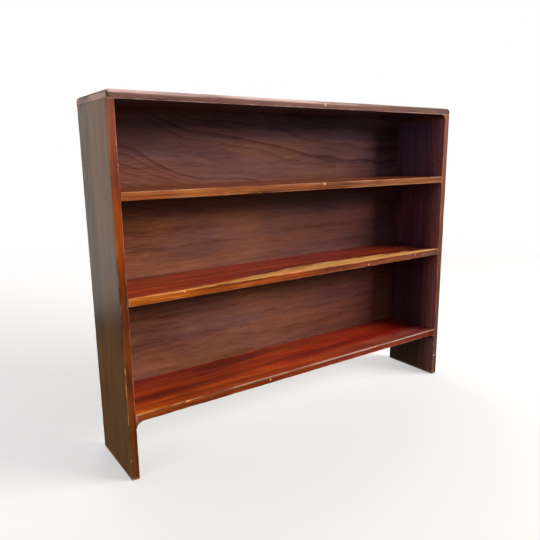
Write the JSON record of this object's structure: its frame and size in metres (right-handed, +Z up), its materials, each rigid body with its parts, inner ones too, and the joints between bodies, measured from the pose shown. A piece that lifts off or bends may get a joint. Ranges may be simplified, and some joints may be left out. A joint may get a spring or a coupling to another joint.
{
  "type": "bookcase",
  "caption": "Low open bookcase: two sides that reach the floor, a top, a fixed bottom shelf, loose shelves on brass pegs in rows of holes, and a thin panelled back.",
  "frame": {"origin": "on the floor, at the centre of the footprint", "axes": "+X to the right along the width, -Y out of the open front, +Z up"},
  "size_m": [1.196, 0.22, 0.965],
  "materials": {
    "mahogany": "worn satin polish over red-brown stain",
    "veneer_back": "thin stained plywood with rotary-cut figure, low sheen",
    "brass_pegs": "dull, slightly tarnished",
    "beech_dowels": "bare turned wood",
    "steel_pins": "dull, oxidised"
  },
  "bodies": {
    "case": {"left_side": "mahogany", "right_side": "mahogany", "top_board": "mahogany", "bottom_shelf": "mahogany", "back_panel": "veneer_back", "back_panel_pins": "steel_pins", "top_right_cove": "mahogany", "bottom_left_cove": "mahogany", "bottom_right_cove": "mahogany", "top_left_dowels": "beech_dowels", "top_right_dowels": "beech_dowels"},
    "middle_shelf": {"middle_shelf": "mahogany"},
    "upper_shelf": {"upper_shelf": "mahogany"},
    "upper_left_front_peg": {"upper_left_front_peg": "brass_pegs"},
    "upper_left_back_peg": {"upper_left_back_peg": "brass_pegs"},
    "upper_right_front_peg": {"upper_right_front_peg": "brass_pegs"},
    "upper_right_back_peg": {"upper_right_back_peg": "brass_pegs"},
    "middle_left_front_peg": {"middle_left_front_peg": "brass_pegs"},
    "middle_left_back_peg": {"middle_left_back_peg": "brass_pegs"},
    "middle_right_front_peg": {"middle_right_front_peg": "brass_pegs"},
    "middle_right_back_peg": {"middle_right_back_peg": "brass_pegs"}
  },
  "joints": [
    {"name": "upper_shelf_lift", "type": "slide", "parent": "case", "child": "upper_shelf", "axis": [0, 0, 1], "range_m": [0, 0.19]},
    {"name": "middle_shelf_lift", "type": "slide", "parent": "case", "child": "middle_shelf", "axis": [0, 0, 1], "range_m": [0, 0.224]},
    {"name": "upper_left_front_peg_pull", "type": "slide", "parent": "case", "child": "upper_left_front_peg", "axis": [1, 0, 0], "range_m": [0, 0.015]},
    {"name": "upper_left_back_peg_pull", "type": "slide", "parent": "case", "child": "upper_left_back_peg", "axis": [1, 0, 0], "range_m": [0, 0.015]},
    {"name": "upper_right_front_peg_pull", "type": "slide", "parent": "case", "child": "upper_right_front_peg", "axis": [-1, 0, 0], "range_m": [0, 0.015]},
    {"name": "upper_right_back_peg_pull", "type": "slide", "parent": "case", "child": "upper_right_back_peg", "axis": [-1, 0, 0], "range_m": [0, 0.015]},
    {"name": "middle_left_front_peg_pull", "type": "slide", "parent": "case", "child": "middle_left_front_peg", "axis": [1, 0, 0], "range_m": [0, 0.015]},
    {"name": "middle_left_back_peg_pull", "type": "slide", "parent": "case", "child": "middle_left_back_peg", "axis": [1, 0, 0], "range_m": [0, 0.015]},
    {"name": "middle_right_front_peg_pull", "type": "slide", "parent": "case", "child": "middle_right_front_peg", "axis": [-1, 0, 0], "range_m": [0, 0.015]},
    {"name": "middle_right_back_peg_pull", "type": "slide", "parent": "case", "child": "middle_right_back_peg", "axis": [-1, 0, 0], "range_m": [0, 0.015]}
  ]
}
